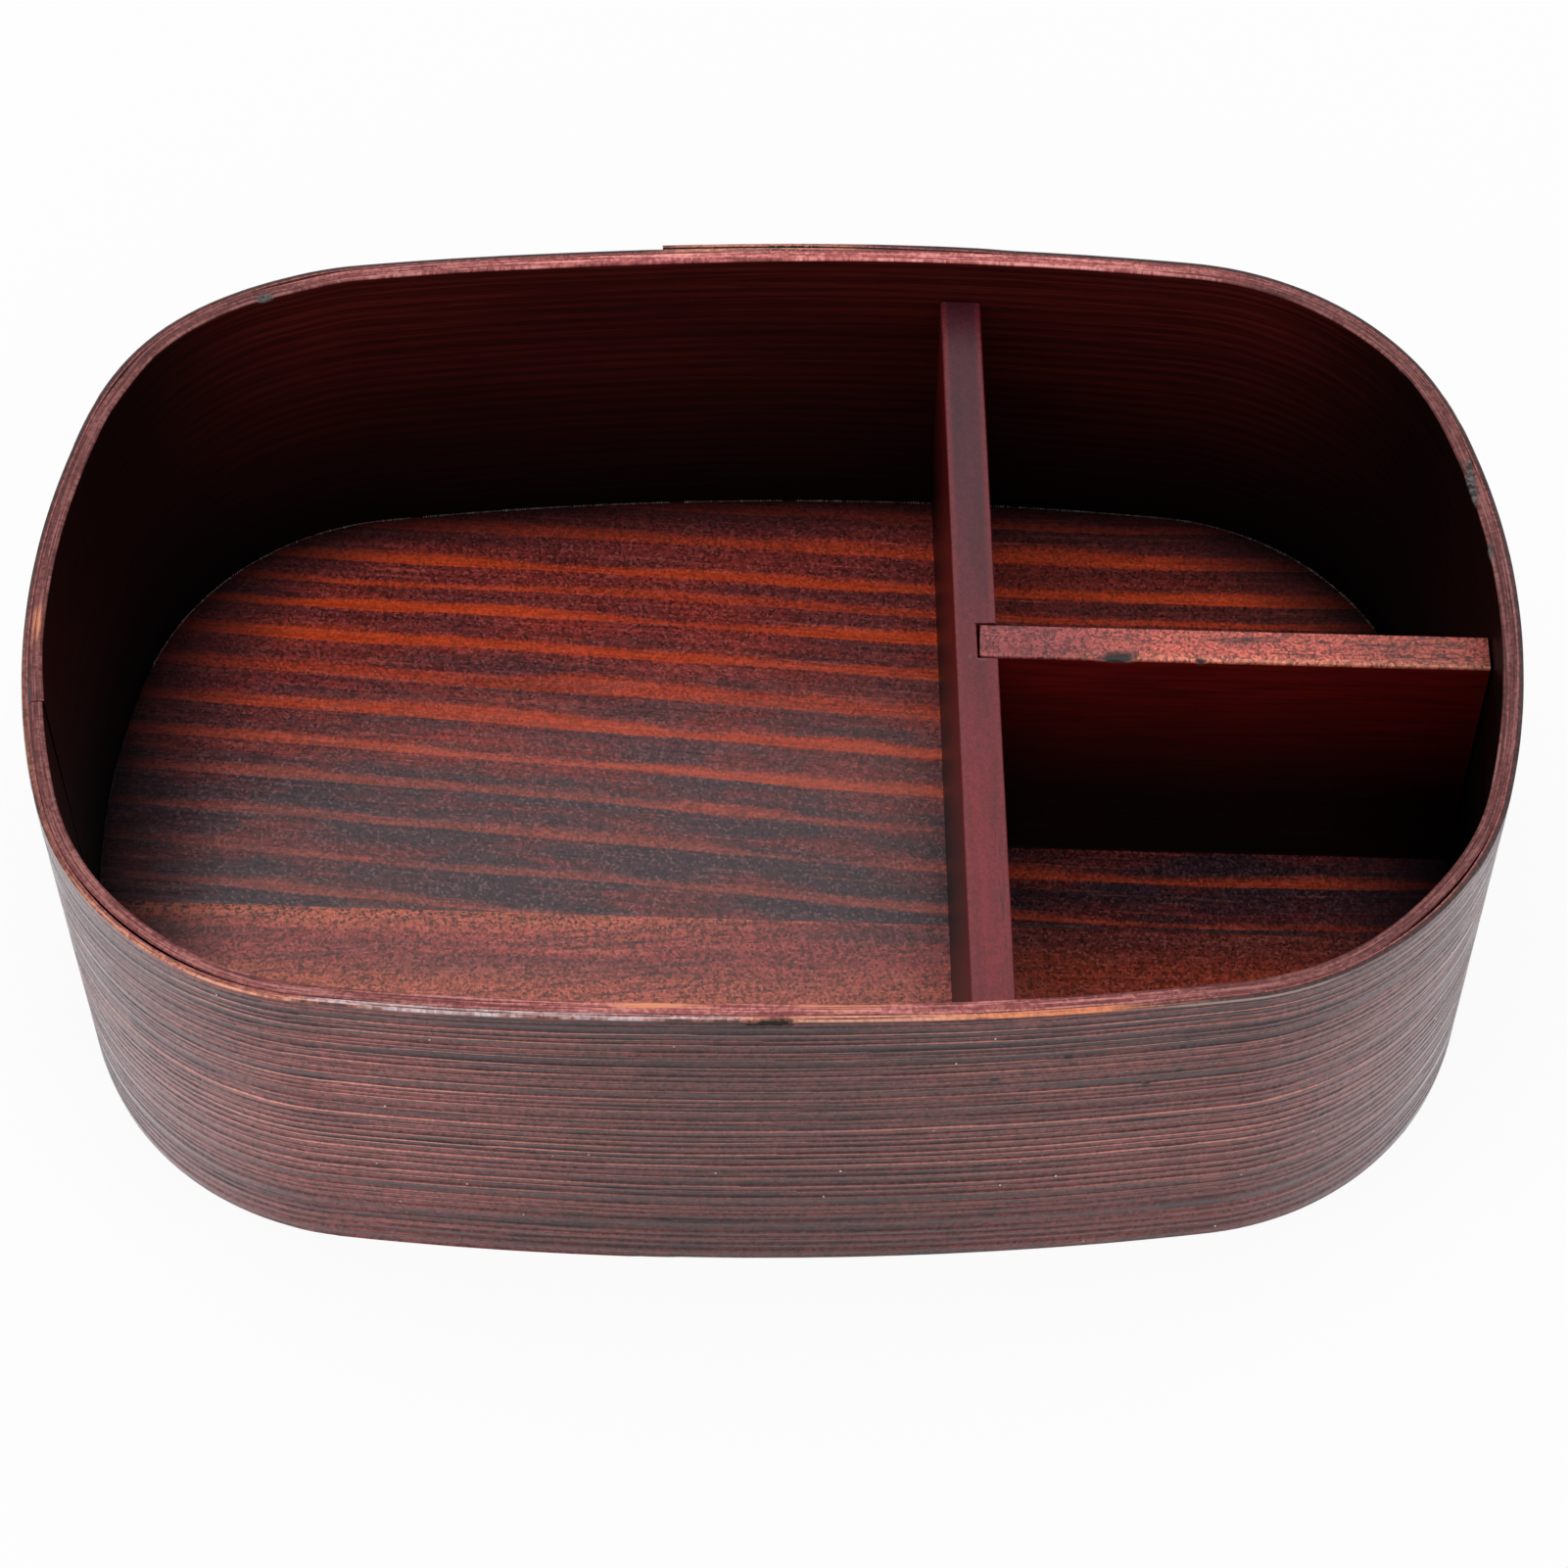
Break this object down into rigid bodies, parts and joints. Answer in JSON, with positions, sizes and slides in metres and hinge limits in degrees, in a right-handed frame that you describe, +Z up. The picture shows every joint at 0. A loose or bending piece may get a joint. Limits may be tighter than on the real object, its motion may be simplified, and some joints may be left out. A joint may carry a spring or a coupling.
{
  "type": "bentwood lunch box",
  "caption": "Oval bentwood lunch box with a wall of bent plies lapped at the back, a glued-up floor, and grooved dividers that lift out to part the food.",
  "frame": {"origin": "on the table under the middle of the box", "axes": "+X to the right along the length, +Y to the back where the outer ply is lapped, +Z up to the rim"},
  "size_m": [0.2, 0.1305, 0.062],
  "materials": {
    "outer_veneer": "dark stained bent veneer with raised grain, satin",
    "inner_veneer": "dark red stained bent veneer, satin",
    "floor_wood": "streaky red-brown board, satin",
    "divider_wood": "red-brown board, satin top with redder edges"
  },
  "bodies": {
    "box": {"inner_ply": "inner_veneer", "outer_ply": "outer_veneer", "floor_back_board": "floor_wood", "floor_front_board": "floor_wood"},
    "long_divider": {"long_divider": "divider_wood"},
    "short_divider": {"short_divider": "divider_wood"}
  },
  "joints": [
    {"name": "long_divider_lift", "type": "slide", "parent": "box", "child": "long_divider", "axis": [0, 0, 1], "range_m": [0, 0.06]},
    {"name": "short_divider_lift", "type": "slide", "parent": "long_divider", "child": "short_divider", "axis": [0, 0, 1], "range_m": [0, 0.06]}
  ]
}
